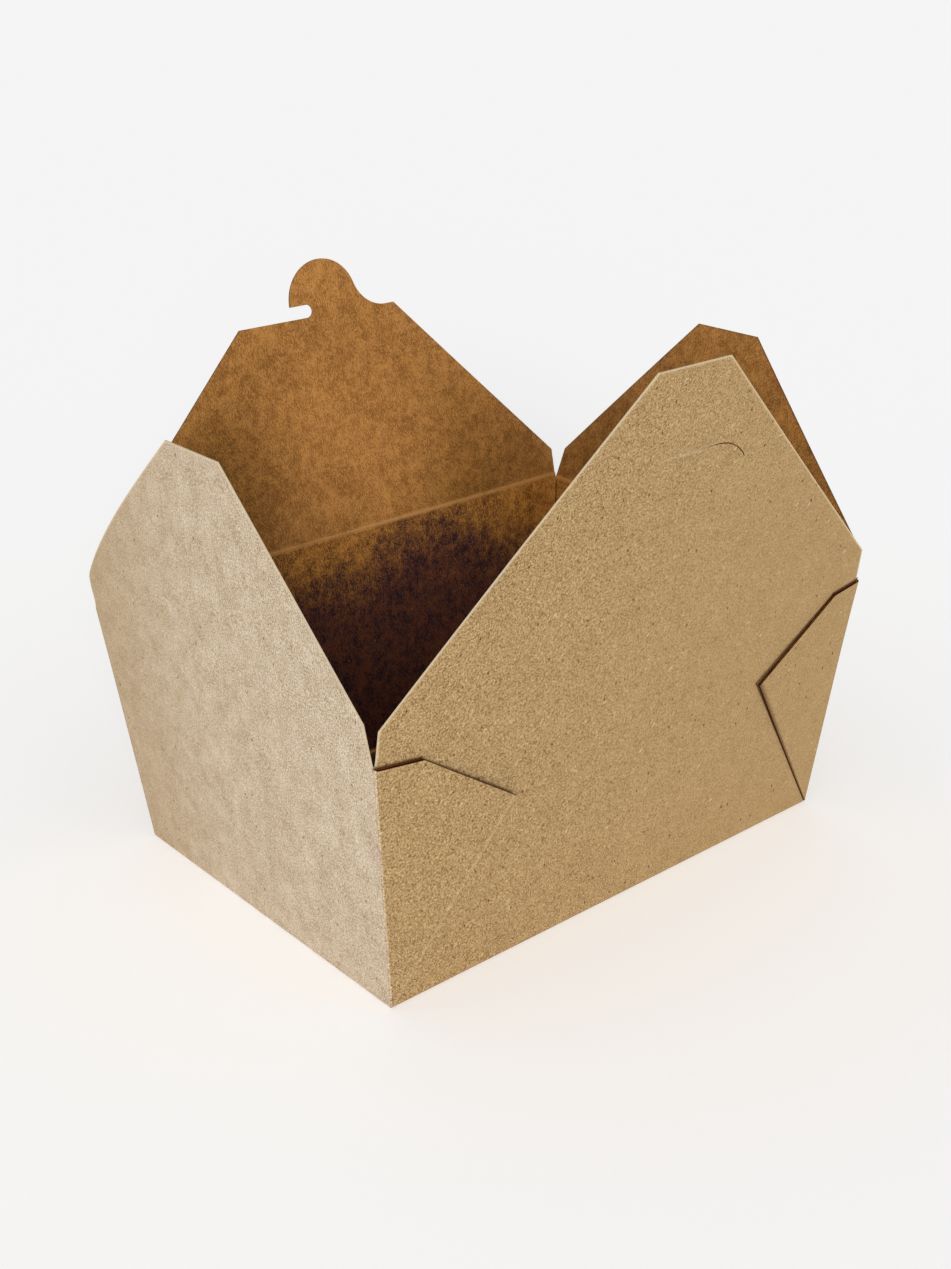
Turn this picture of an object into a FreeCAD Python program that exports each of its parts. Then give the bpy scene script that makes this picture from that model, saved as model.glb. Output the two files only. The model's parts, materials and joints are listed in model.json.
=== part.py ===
import FreeCAD, Part
import math
import os

# Takeaway box folded from one sheet of kraft board: a flared tray with folded
# webs glued on the outside of its long walls, and four flaps at its rim.
# The origin is the centre of the underside, +X runs along the box and +Z is up.
# Lengths are in millimetres and angles in degrees.

# Board and tray
board = 0.45
bottom_length = 197.0
bottom_width = 140.0
top_length = 216.0
top_width = 157.0
height = 90.0
fold_inner_radius = 0.3

# Corner webs, measured on the long wall
web_top_drop = 0.5
web_top_run = 15.0
web_shoulder_drop = 3.5
web_fold_length = 74.0
web_foot = 2.5

# Creases between the walls and the flaps
crease_gap = 0.06
crease_half_angle = 38.0
flap_clearance = 0.3

# End flaps, which close first
end_flap_height = 74.8
end_flap_shoulder = 12.7
end_flap_shoulder_inset = 2.8
end_flap_top_width = 29.0

# Side flap with the slit, which closes next
slit_flap_height = 100.5
slit_flap_shoulder = 11.3
slit_flap_top_width = 30.6
slit_width = 0.4
slit_left_end = -9.4
slit_straight_end = 19.0
slit_bend_radius = 12.8
slit_bend_angle = 65.0

# Side flap with the hook, which closes last
hook_flap_height = 82.0
hook_flap_shoulder = 10.4
hook_flap_top_width = 69.6
side_flap_shoulder_inset = 0.3
hook_radius = 15.1
hook_centre_across = -3.0
hook_centre_above = 5.2
hook_slot_height = 4.7
hook_slot_depth = 9.5
hook_fillet = 14.5

# How far each flap leans outward from upright as the box stands
left_flap_angle = 2.4
right_flap_angle = 11.0
slit_flap_angle = 9.4
hook_flap_angle = 9.3

# Worked out from the sizes above
end_lean = math.degrees(math.atan((top_length - bottom_length) / 2 / height))
side_lean = math.degrees(math.atan((top_width - bottom_width) / 2 / height))
end_crease_z = height
slit_crease_z = end_crease_z + board + flap_clearance
hook_crease_z = slit_crease_z + board + flap_clearance
bevel_depth = board / 2 / math.tan(math.radians(crease_half_angle))
cut_through = 4 * board
quarter_turns = {"front": 0, "right": 1, "back": 2, "left": 3}


def half_length(z):
    """Half the tray's outer length at height z."""
    return bottom_length / 2 + z * math.tan(math.radians(end_lean))


def half_width(z):
    """Half the tray's outer width at height z."""
    return bottom_width / 2 + z * math.tan(math.radians(side_lean))


def stand(shape, lean, out, z, side):
    """Stand a flat shape on the front, right, back or left side of the box.

    The flat shape has X along the side, Y up it and Z out of the box. Its X axis
    goes to height z, out from the centre, and it leans outward by lean.
    """
    shape = shape.copy()
    shape.rotate(FreeCAD.Vector(), FreeCAD.Vector(1, 0, 0), 90.0 + lean)
    shape.translate(FreeCAD.Vector(0, -out, z))
    shape.rotate(FreeCAD.Vector(), FreeCAD.Vector(0, 0, 1), 90.0 * quarter_turns[side])
    return shape


def prism(points, depth):
    """A flat outline in XY, centred on Z = 0 and depth thick."""
    corners = [FreeCAD.Vector(x, y, -depth / 2) for x, y in points]
    wire = Part.makePolygon(corners + corners[:1])
    return Part.Face(wire).extrude(FreeCAD.Vector(0, 0, depth))


def bar(section, length):
    """A section given as (Y, Z) points, run along X and centred on X = 0."""
    corners = [FreeCAD.Vector(-length / 2, y, z) for y, z in section]
    wire = Part.makePolygon(corners + corners[:1])
    return Part.Face(wire).extrude(FreeCAD.Vector(length, 0, 0))


def crease_out(z, lean, half_size):
    """Distance from the centre to a crease, which lies midway through the board."""
    return half_size(z) - board / 2 / math.cos(math.radians(lean))


def fold_bevel(direction):
    """The two slopes of a pressed crease, up (1) or down (-1) from its line."""
    reach = 2 * board
    run = reach / math.tan(math.radians(crease_half_angle))
    tip = direction * crease_gap / 2
    far = direction * (crease_gap / 2 + run)
    return [(far, -reach), (tip, 0.0), (far, reach)]


# Tray

def flared_block(inset, low, high):
    """The tray's outer form between two heights, with every wall moved in."""
    end_inset = inset / math.cos(math.radians(end_lean))
    side_inset = inset / math.cos(math.radians(side_lean))
    rings = []
    for z in (low, high):
        x = half_length(z) - end_inset
        y = half_width(z) - side_inset
        corners = [(-x, -y), (x, -y), (x, y), (-x, y), (-x, -y)]
        rings.append(Part.makePolygon([FreeCAD.Vector(cx, cy, z) for cx, cy in corners]))
    return Part.makeLoft(rings, True, True)


def edges_at(shape, z):
    """The straight edges that lie in the level plane at height z."""
    return [edge for edge in shape.Edges if all(abs(v.Z - z) < 1e-6 for v in edge.Vertexes)]


def folded_shell():
    """Bottom and walls, one board thick, with rounded folds round the bottom."""
    top = hook_crease_z + board
    outside = flared_block(0.0, 0.0, top)
    outside = outside.makeFillet(fold_inner_radius + board, edges_at(outside, 0.0))
    inside = flared_block(board, board, top + board)
    inside = inside.makeFillet(fold_inner_radius, edges_at(inside, board))
    return outside.cut(inside)


def rim_cutter(crease_z, lean, half_size, length, side):
    """What is cut away above a wall, down to the slopes of its crease."""
    top = hook_crease_z - end_crease_z + 2 * board
    low, tip, high = fold_bevel(-1)
    section = [low, tip, high, (top, high[1]), (top, low[1])]
    return stand(bar(section, length), lean, crease_out(crease_z, lean, half_size), crease_z, side)


def web_outline():
    """A folded corner web on the long wall's outer face, at its right-hand end.

    Points are (along the wall from its middle, up the wall). The fold runs up from
    the bottom corner and halves the angle that the two walls leave in the sheet.
    """
    end_slope = math.tan(math.radians(end_lean)) * math.cos(math.radians(side_lean))
    side_slope = math.tan(math.radians(side_lean)) * math.cos(math.radians(end_lean))
    corner_angle = math.atan(end_slope)
    web_half_angle = (math.pi / 2 - corner_angle - math.atan(side_slope)) / 2
    fold_angle = web_half_angle - corner_angle
    top = (height - web_top_drop) / math.cos(math.radians(side_lean))
    corner = bottom_length / 2
    foot = web_foot * math.cos(fold_angle)
    return [
        (corner + foot * end_slope, foot),
        (corner + top * end_slope, top),
        (corner + top * end_slope - web_top_run, top - web_shoulder_drop),
        (corner - web_fold_length * math.sin(fold_angle), web_fold_length * math.cos(fold_angle)),
        (corner - web_foot * math.sin(fold_angle), foot),
    ]


def web(hand, side):
    """One web folded flat and glued down: two boards thick, round at both folds.

    It is at the right-hand end of its wall where hand is 1 and at the left where it is -1.
    """
    outline = [(hand * x, y) for x, y in web_outline()]
    thickness = 2 * board
    pad = prism(outline, thickness)
    pad.translate(FreeCAD.Vector(0, 0, thickness / 2))
    folds = (outline[0:2], outline[3:5])
    rounded = []
    for edge in pad.Edges:
        if any(abs(v.Z - thickness) > 1e-6 for v in edge.Vertexes):
            continue
        for ends in folds:
            if all(min(math.dist((v.X, v.Y), end) for end in ends) < 1e-6 for v in edge.Vertexes):
                rounded.append(edge)
    pad = pad.makeFillet(fold_inner_radius, rounded)
    return stand(pad, side_lean, bottom_width / 2, 0.0, side)


def tray():
    """The folded shell with its four webs, trimmed to the creases at the rim."""
    shape = folded_shell()
    end_length = 2 * (half_width(end_crease_z) - board / math.cos(math.radians(side_lean)))
    side_length = 2 * half_length(hook_crease_z) + 2 * board
    for side in ("left", "right"):
        shape = shape.cut(rim_cutter(end_crease_z, end_lean, half_length, end_length, side))
    shape = shape.cut(rim_cutter(slit_crease_z, side_lean, half_width, side_length, "front"))
    shape = shape.cut(rim_cutter(hook_crease_z, side_lean, half_width, side_length, "back"))
    webs = [web(hand, side) for hand in (-1, 1) for side in ("front", "back")]
    return shape.fuse(webs).removeSplitter()


# Flaps

def flap_half_root(half_size, lean):
    """Half the length of a flap's crease, clear of the board of the walls beside it."""
    return half_size(height) - board / math.cos(math.radians(lean)) - flap_clearance


def flap_side(half_root, inset, shoulder, flap_height, top_width):
    """One side of a flap's outline: a short near-upright edge and a long slant."""
    return [(half_root, 0.0), (half_root - inset, shoulder), (top_width / 2, flap_height)]


def flap_board(outline, length):
    """A flat sheet with the outline and with the crease's slopes along its root."""
    tall = outline.BoundBox.YMax + board
    low, tip, high = fold_bevel(1)
    slope = [tip, (crease_gap / 2 + bevel_depth, board / 2), (tall, board / 2)]
    slope += [(tall, -board / 2), (crease_gap / 2 + bevel_depth, -board / 2)]
    return outline.common(bar(slope, length))


def plain_flap_outline(half_root, inset, shoulder, flap_height, top_width):
    """A flap with no tab: its right side and the same points mirrored."""
    side = flap_side(half_root, inset, shoulder, flap_height, top_width)
    return prism(side + [(-x, y) for x, y in reversed(side)], cut_through)


def end_flap(lean, side):
    """A short flap at one end of the box."""
    half_root = flap_half_root(half_width, side_lean)
    outline = plain_flap_outline(half_root, end_flap_shoulder_inset, end_flap_shoulder,
                                 end_flap_height, end_flap_top_width)
    out = crease_out(end_crease_z, end_lean, half_length)
    return stand(flap_board(outline, 2 * half_root), lean, out, end_crease_z, side)


def slit_height():
    """How far up its flap the slit lies, so that the closed hook's slot meets it."""
    between = crease_out(slit_crease_z, side_lean, half_width)
    between += crease_out(hook_crease_z, side_lean, half_width)
    return between - hook_flap_height - hook_slot_height / 2


def slit():
    """The cut that takes the hook: a straight stretch, then a bend towards the crease."""
    y = slit_height()
    low = -cut_through / 2
    centre = FreeCAD.Vector(slit_straight_end, y - slit_bend_radius, low)
    up = FreeCAD.Vector(0, 0, 1)
    stop = 90.0
    start = stop - slit_bend_angle
    arcs = [Part.makeCircle(slit_bend_radius + offset, centre, up, start, stop)
            for offset in (slit_width / 2, -slit_width / 2)]
    outer, inner = [arc.Edges[0] for arc in arcs]
    outer_ends = [outer.valueAt(outer.FirstParameter), outer.valueAt(outer.LastParameter)]
    inner_ends = [inner.valueAt(inner.FirstParameter), inner.valueAt(inner.LastParameter)]
    top_left = FreeCAD.Vector(slit_left_end, outer_ends[1].y, low)
    bottom_left = FreeCAD.Vector(slit_left_end, inner_ends[1].y, low)
    edges = [
        outer,
        Part.makeLine(outer_ends[1], top_left),
        Part.makeLine(top_left, bottom_left),
        Part.makeLine(bottom_left, inner_ends[1]),
        inner,
        Part.makeLine(inner_ends[0], outer_ends[0]),
    ]
    wire = Part.Wire(Part.__sortEdges__(edges))
    return Part.Face(wire).extrude(FreeCAD.Vector(0, 0, cut_through))


def slit_side_flap():
    """The tall front flap, whose slit takes the hook."""
    half_root = flap_half_root(half_length, end_lean)
    outline = plain_flap_outline(half_root, side_flap_shoulder_inset, slit_flap_shoulder,
                                 slit_flap_height, slit_flap_top_width)
    sheet = flap_board(outline, 2 * half_root).cut(slit())
    out = crease_out(slit_crease_z, side_lean, half_width)
    return stand(sheet, slit_flap_angle, out, slit_crease_z, "front")


def hook_outline():
    """The back flap's outline: a round tab with a slot under one side of it.

    The other side runs into the flap's top edge with a hollow curve.
    """
    half_root = flap_half_root(half_length, end_lean)
    side = flap_side(half_root, side_flap_shoulder_inset, hook_flap_shoulder,
                     hook_flap_height, hook_flap_top_width)
    hub = FreeCAD.Vector(hook_centre_across, hook_flap_height + hook_centre_above, 0)
    hollow_y = hook_flap_height + hook_fillet
    reach = math.sqrt((hook_radius + hook_fillet) ** 2 - (hollow_y - hub.y) ** 2)
    hollow = FreeCAD.Vector(hub.x - reach, hollow_y, 0)
    towards = (hollow - hub).normalize()
    meet = hub + towards * hook_radius
    foot = FreeCAD.Vector(hollow.x, hook_flap_height, 0)
    halfway = ((meet - hollow).normalize() + FreeCAD.Vector(0, -1, 0)).normalize()
    slot_top = hook_flap_height + hook_slot_height
    tip = FreeCAD.Vector(hub.x + math.sqrt(hook_radius ** 2 - (slot_top - hub.y) ** 2), slot_top, 0)
    slot_round = FreeCAD.Vector(tip.x - hook_slot_depth + hook_slot_height / 2,
                                hook_flap_height + hook_slot_height / 2, 0)
    slot_in_top = FreeCAD.Vector(slot_round.x, slot_top, 0)
    slot_in_low = FreeCAD.Vector(slot_round.x, hook_flap_height, 0)
    slot_end = FreeCAD.Vector(slot_round.x - hook_slot_height / 2, slot_round.y, 0)
    crown = FreeCAD.Vector(hub.x, hub.y + hook_radius, 0)
    right_side = [FreeCAD.Vector(x, y, 0) for x, y in side]
    left_side = [FreeCAD.Vector(-x, y, 0) for x, y in reversed(side)]
    edges = [
        Part.makePolygon(right_side + [slot_in_low]),
        Part.Arc(slot_in_low, slot_end, slot_in_top).toShape(),
        Part.makeLine(slot_in_top, tip),
        Part.Arc(tip, crown, meet).toShape(),
        Part.Arc(meet, hollow + halfway * hook_fillet, foot).toShape(),
        Part.makePolygon([foot] + left_side),
        Part.makeLine(left_side[-1], right_side[0]),
    ]
    pieces = [edge for shape in edges for edge in shape.Edges]
    wire = Part.Wire(Part.__sortEdges__(pieces))
    wire.translate(FreeCAD.Vector(0, 0, -cut_through / 2))
    return Part.Face(wire).extrude(FreeCAD.Vector(0, 0, cut_through))


def hook_side_flap():
    """The back flap, whose hook goes into the front flap's slit."""
    half_root = flap_half_root(half_length, end_lean)
    sheet = flap_board(hook_outline(), 2 * half_root)
    out = crease_out(hook_crease_z, side_lean, half_width)
    return stand(sheet, hook_flap_angle, out, hook_crease_z, "back")


nodes = {
    "tray": tray(),
    "left_end_flap": end_flap(left_flap_angle, "left"),
    "right_end_flap": end_flap(right_flap_angle, "right"),
    "slit_side_flap": slit_side_flap(),
    "hook_side_flap": hook_side_flap(),
}

os.makedirs("parts", exist_ok=True)
for name, shape in nodes.items():
    shape.exportStep("parts/" + name + ".step")
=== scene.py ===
import json
import math

import bpy
import numpy as np
from mathutils import Matrix, Vector


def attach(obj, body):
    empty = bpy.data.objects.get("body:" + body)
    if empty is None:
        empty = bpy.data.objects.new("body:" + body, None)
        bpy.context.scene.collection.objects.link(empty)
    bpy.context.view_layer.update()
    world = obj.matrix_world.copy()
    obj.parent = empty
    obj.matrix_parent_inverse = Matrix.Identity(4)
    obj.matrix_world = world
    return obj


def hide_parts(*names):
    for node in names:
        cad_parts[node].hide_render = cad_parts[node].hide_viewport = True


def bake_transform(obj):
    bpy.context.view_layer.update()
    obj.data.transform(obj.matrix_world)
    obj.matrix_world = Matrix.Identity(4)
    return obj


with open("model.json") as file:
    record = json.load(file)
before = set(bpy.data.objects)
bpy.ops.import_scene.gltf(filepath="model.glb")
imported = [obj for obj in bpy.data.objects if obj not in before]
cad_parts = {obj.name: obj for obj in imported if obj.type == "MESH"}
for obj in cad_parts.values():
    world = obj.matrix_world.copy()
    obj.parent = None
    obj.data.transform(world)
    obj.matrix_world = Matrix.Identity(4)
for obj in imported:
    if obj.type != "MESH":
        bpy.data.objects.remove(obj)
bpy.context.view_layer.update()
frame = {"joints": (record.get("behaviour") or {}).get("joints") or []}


# Tray. The bottom and the four walls of the box, creased and folded up from one die-cut sheet
# of kraft board that is pale outside and browner inside. Every wall leans outward, and each
# fold shows inside as a thin raised line.

mm = 0.001
board = 0.45 * mm
bottom_length = 197 * mm
bottom_width = 140 * mm
top_length = 216 * mm
top_width = 157 * mm
wall_height = 90 * mm
bottom_fold_radius = 0.3 * mm
outer_corner_radius = 0.05 * mm
inner_corner_radius = 0.3 * mm
bottom_rise = 0.3 * mm
bead_width = 0.7 * mm
bead_height = 0.14 * mm
corner_shade_width = 0.8 * mm
corner_glow_width = 1.4 * mm
weld_distance = 0.0005 * mm
fine_steps = np.array([0.0, 0.25, 0.5, 0.8, 1.2, 1.8, 2.8]) * mm

end_lean = math.atan((top_length - bottom_length) / 2 / wall_height)
side_lean = math.atan((top_width - bottom_width) / 2 / wall_height)
flap_on = {"front": "slit_side_flap", "right": "right_end_flap",
           "back": "hook_side_flap", "left": "left_end_flap"}
joint_of = {joint["child"]: joint for joint in frame["joints"]}
hinge = {side: Vector(joint_of[flap]["pos_m"]) for side, flap in flap_on.items()}
facing = {"front": (0, -1), "right": (1, 0), "back": (0, 1), "left": (-1, 0)}
wall_lean = {"front": side_lean, "right": end_lean, "back": side_lean, "left": end_lean}
wall_bow = {"front": 0.4 * mm, "right": 0.3 * mm, "back": -0.8 * mm, "left": 0.5 * mm}
bow_turn = 0.55 * math.pi


def near_both_ends(count, half):
    """Steps from -1 to 1: `count` even ones, and finer ones next to both ends of `half`."""
    near = fine_steps / half
    middle = np.linspace(-1 + near[-1], 1 - near[-1], count)[1:-1]
    return np.concatenate([-1 + near, middle, 1 - near[::-1]])


def ring(side_steps, end_steps, corner_points):
    """Once round a rectangle, anticlockwise from its front left corner and back to it.

    `along` runs from -1 to 1 over a side and stands still at a corner, and `out` is the outward
    direction, which makes a quarter turn at a corner. A point of the rectangle is
    along * (half size - corner radius) + out * corner radius.
    """
    turn = np.linspace(0, math.pi / 2, corner_points)[1:-1]
    along, out = [], []
    for quarter in range(4):
        steps = side_steps if quarter % 2 == 0 else end_steps
        run = np.stack([steps, -np.ones(len(steps))], 1)
        corner = np.tile([1.0, -1.0], (len(turn), 1))
        flat = np.tile([0.0, -1.0], (len(steps), 1))
        bend = np.stack([np.sin(turn), -np.cos(turn)], 1)
        c, s = [(1, 0), (0, 1), (-1, 0), (0, -1)][quarter]
        quarter_turn = np.array([[c, s], [-s, c]])
        along.append(np.concatenate([run, corner]) @ quarter_turn)
        out.append(np.concatenate([flat, bend]) @ quarter_turn)
    along, out = np.concatenate(along), np.concatenate(out)
    return np.concatenate([along, along[:1]]), np.concatenate([out, out[:1]])


def of_side(out, value):
    """A value per side, shared over the corners by the square of the outward direction."""
    shares = {side: np.maximum(out @ np.array(facing[side], float), 0) ** 2 for side in facing}
    return sum(shares[side] * value[side] for side in facing)


def half_at_height(z):
    """Half the length and half the width of the tray's outside at a height."""
    lean = np.array([end_lean, side_lean])
    return np.array([bottom_length, bottom_width]) / 2 + np.asarray(z)[..., None] * np.tan(lean)


def tray_face(along, out, inset, floor, radius, corner_radius):
    """One face of the tray's board as a grid, from the middle of the bottom to the rim.

    On the bottom a row is the ring drawn in towards the middle. Over the fold the half size is
    h = c - T + radius sin(a) and z = floor + radius (1 - cos(a)), where T = radius tan((90 - lean) / 2)
    and a runs up to 90 - lean. On the wall h = bottom / 2 + z tan(lean) - inset / cos(lean). A wall
    bows by wall_bow (1 - along^2) sin(bow_turn t), where t is the share of its height.
    """
    lean = np.array([end_lean, side_lean])
    square = out ** 2

    def half(z):
        return half_at_height(z) - inset / np.cos(lean)

    def spread(size):
        return along * (size - corner_radius) + out * corner_radius

    corner = half(floor)
    touch = radius * np.tan((math.pi / 2 - lean) / 2)
    k = np.concatenate([np.linspace(0, 0.97, 20), [0.98, 0.988, 0.994, 1.0]])[:, None]
    bottom = k[:, :, None] * spread(corner - touch)
    bottom_z = floor + bottom_rise * (1 - k ** 2) * np.ones(len(along))
    angle = np.linspace(0, 1, 6)[1:, None, None] * (math.pi / 2 - lean)
    fold = spread(corner - touch + radius * np.sin(angle))
    fold_z = floor + radius * ((1 - np.cos(angle)) * square).sum(-1)
    tilt = of_side(out, wall_lean)
    rim = of_side(out, {side: hinge[side].z for side in hinge})
    rim = rim + (board / 2 - inset) * np.sin(tilt)
    rise = (near_both_ends(34, wall_height / 2)[1:, None] + 1) / 2
    wall_z = fold_z[-1] + rise * (rim - fold_z[-1])
    wall = spread(half(wall_z))
    middle = 1 - np.where(square[:, 0] > square[:, 1], along[:, 1], along[:, 0]) ** 2
    swell = np.sin(rise * bow_turn) * of_side(out, wall_bow) * middle
    wall = wall + swell[..., None] * out
    flat = np.concatenate([bottom, fold, wall])
    height = np.concatenate([bottom_z, fold_z, wall_z])
    return np.concatenate([flat, height[..., None]], -1)


def net(bands):
    """Points and triangles of several grids, welded where they meet.

    A grid's rows run away from the viewer's feet and its columns to the right, seen from the
    outside. Where a row closes to a point, the triangles with no area are left out.
    """
    corners, owner, start = [], [], 0
    for number, band in enumerate(bands):
        rows, columns = band.shape[:2]
        index = start + np.arange(rows * columns).reshape(rows, columns)
        a, b = index[:-1, :-1].ravel(), index[:-1, 1:].ravel()
        d, c = index[1:, :-1].ravel(), index[1:, 1:].ravel()
        corners += [np.stack([a, b, c], 1), np.stack([a, c, d], 1)]
        owner += [np.full(2 * len(a), number)]
        start += rows * columns
    points = np.concatenate([band.reshape(-1, band.shape[-1]) for band in bands])
    _, first, welded = np.unique(np.round(points / weld_distance).astype(np.int64), axis=0,
                                 return_index=True, return_inverse=True)
    triangles = welded.ravel()[np.concatenate(corners)]
    owner = np.concatenate(owner)
    real = ((triangles[:, 0] != triangles[:, 1]) & (triangles[:, 1] != triangles[:, 2])
            & (triangles[:, 2] != triangles[:, 0]))
    return points[first], triangles[real], owner[real]


def srgb(red, green, blue):
    """A colour as the eye reads it, 0 to 255, turned into the linear values of a shader."""
    value = np.array([red, green, blue]) / 255
    linear = np.where(value <= 0.04045, value / 12.92, ((value + 0.055) / 1.055) ** 2.4)
    return (*linear.tolist(), 1.0)


def add(tree, kind, inputs=None, **options):
    """Adds a shader node, sets its options, and sets or links its inputs."""
    made = tree.nodes.new(kind)
    for name, value in options.items():
        setattr(made, name, value)
    for name, value in (inputs or {}).items():
        if isinstance(value, bpy.types.NodeSocket):
            tree.links.new(value, made.inputs[name])
        else:
            made.inputs[name].default_value = value
    return made


def maths(tree, operation, *values):
    """The output of a math node."""
    return add(tree, "ShaderNodeMath", dict(enumerate(values)), operation=operation).outputs[0]


def mixed(tree, factor, first, second):
    """The output of a colour mix: first where the factor is 0 and second where it is 1."""
    inputs = {0: factor, 6: first, 7: second}
    return add(tree, "ShaderNodeMix", inputs, data_type="RGBA").outputs[2]


def laid_over(tree, face, mask, strength, colour):
    """A face with another colour laid over it where a mask is above 0, as strong as is given."""
    return mixed(tree, maths(tree, "MULTIPLY", mask, strength), face, colour)


def ramped(tree, value, low, high):
    """0 at low and 1 at high, with soft ends. Low may be the larger of the two."""
    inputs = {"Value": value, "From Min": low, "From Max": high}
    return add(tree, "ShaderNodeMapRange", inputs, interpolation_type="SMOOTHSTEP").outputs[0]


def centred(tree, value):
    """A noise value between 0 and 1, moved to lie about 0."""
    return maths(tree, "SUBTRACT", value, 0.5)


def vector_maths(tree, operation, first, second, output="Vector"):
    """An output of a vector math node: "Vector", or "Value" where it gives a number."""
    made = add(tree, "ShaderNodeVectorMath", {0: first, 1: second}, operation=operation)
    return made.outputs[output]


def noise(tree, vector, scale, detail, **more):
    """The output of a noise, with `more` inputs such as its roughness."""
    inputs = {"Vector": vector, "Scale": scale, "Detail": detail, **more}
    return add(tree, "ShaderNodeTexNoise", inputs).outputs[0]


def new_group(name, vectors, floats, results):
    """An empty shader node group, its sockets named in words: vectors and floats in, floats out.

    Returns the group, the inputs to take values from and the inputs that its results go to.
    """
    group = bpy.data.node_groups.new(name, "ShaderNodeTree")
    for labels, way, kind in ((vectors, "INPUT", "Vector"), (floats, "INPUT", "Float"),
                              (results, "OUTPUT", "Float")):
        for label in labels.split():
            group.interface.new_socket(label, in_out=way, socket_type="NodeSocket" + kind)
    return group, add(group, "NodeGroupInput").outputs, add(group, "NodeGroupOutput").inputs


def stretched(group, given, across, lengthwise):
    """The point Vector, turned by Turn and scaled by one factor across and another lengthwise."""
    turned = add(group, "ShaderNodeMapping", {"Vector": given["Vector"], "Rotation": given["Turn"]})
    scale = add(group, "ShaderNodeCombineXYZ", {"X": across, "Y": across, "Z": lengthwise})
    return vector_maths(group, "MULTIPLY", turned.outputs[0], scale.outputs[0])


def fibre_group():
    """Short fibres pressed into the face of the board, and the grain between them.

    Relief is the difference of one stretched noise at two places close together, so each fibre has
    a light flank and a dark one. 0.5 is level.
    """
    group, given, put = new_group("board_fibres", "Vector Turn", "Width Length", "Relief Height Grain")
    place = stretched(group, given, maths(group, "DIVIDE", 1.0, given["Width"]),
                      maths(group, "DIVIDE", 1.0, given["Length"]))
    samples = []
    for shift in (0.0, 0.42):
        moved = vector_maths(group, "ADD", place, (shift, shift, 0.1 * shift))
        inputs = {"Vector": moved, "W": 0.0, "Scale": 1.0, "Detail": 1.0, "Roughness": 0.6}
        samples.append(add(group, "ShaderNodeTexNoise", inputs, noise_dimensions="4D").outputs[0])
    slope = maths(group, "SUBTRACT", samples[0], samples[1])
    group.links.new(maths(group, "MULTIPLY_ADD", slope, 1.6, 0.5), put["Relief"])
    group.links.new(samples[0], put["Height"])
    group.links.new(noise(group, given["Vector"], 1900.0, 2.0, Roughness=0.7), put["Grain"])
    return group


def speck_group():
    """Scattered specks: the inside of small balls about random points, stretched along one way."""
    group, given, put = new_group("board_specks", "Vector Turn", "Spacing Stretch Size", "Mask")
    across = maths(group, "DIVIDE", 1.0, given["Spacing"])
    place = stretched(group, given, across, maths(group, "DIVIDE", across, given["Stretch"]))
    cells = add(group, "ShaderNodeTexVoronoi", {"Vector": place, "Scale": 1.0})
    reach = maths(group, "MULTIPLY", given["Size"], across)
    core = maths(group, "MULTIPLY", reach, 0.45)
    group.links.new(ramped(group, cells.outputs["Distance"], reach, core), put["Mask"])
    return group


def mottle_group():
    """Soft blotches of an uneven pulp, with faint streaks that run up the walls, and finer pebbles."""
    group, given, put = new_group("board_mottle", "Vector", "Blotch Streak", "Value Pebble")
    blotch = noise(group, given["Vector"], given["Blotch"], 6.0, Roughness=0.66)
    tall = vector_maths(group, "MULTIPLY", given["Vector"], (1.0, 1.0, 0.12))
    streak = noise(group, tall, given["Streak"], 2.0)
    both = maths(group, "MULTIPLY_ADD", streak, 0.16, maths(group, "MULTIPLY", blotch, 0.84))
    group.links.new(both, put["Value"])
    group.links.new(noise(group, given["Vector"], 280.0, 1.0), put["Pebble"])
    return group


groups = {"fibres": fibre_group(), "specks": speck_group(), "mottle": mottle_group()}


def placed_group(tree, name, **inputs):
    """Places a shared group in a material. Input names are the group's, in small letters."""
    made = add(tree, "ShaderNodeGroup", node_tree=groups[name])
    for label, value in inputs.items():
        socket = made.inputs[label.capitalize()]
        if isinstance(value, bpy.types.NodeSocket):
            tree.links.new(value, socket)
        else:
            socket.default_value = value
    return made


def attribute(tree, name, output="Fac"):
    """What a mesh keeps at each point under a name."""
    return add(tree, "ShaderNodeAttribute", attribute_name=name).outputs[output]


def new_material(name, roughness, specular):
    """An empty board material. Returns it, its tree, its shader and the place of each point at rest."""
    material = bpy.data.materials.new(name)
    material.use_nodes = True
    tree = material.node_tree
    shader = tree.nodes["Principled BSDF"]
    shader.inputs["Roughness"].default_value = roughness
    shader.inputs["Specular IOR Level"].default_value = specular
    return material, tree, shader, attribute(tree, "place", "Vector")


def finish_board(tree, shader, face, height, strength, depth):
    """Gives a board's shader its colour and the bumps of its surface."""
    bump = add(tree, "ShaderNodeBump", {"Height": height, "Strength": strength, "Distance": depth})
    tree.links.new(face, shader.inputs["Base Color"])
    tree.links.new(bump.outputs[0], shader.inputs["Normal"])


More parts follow.
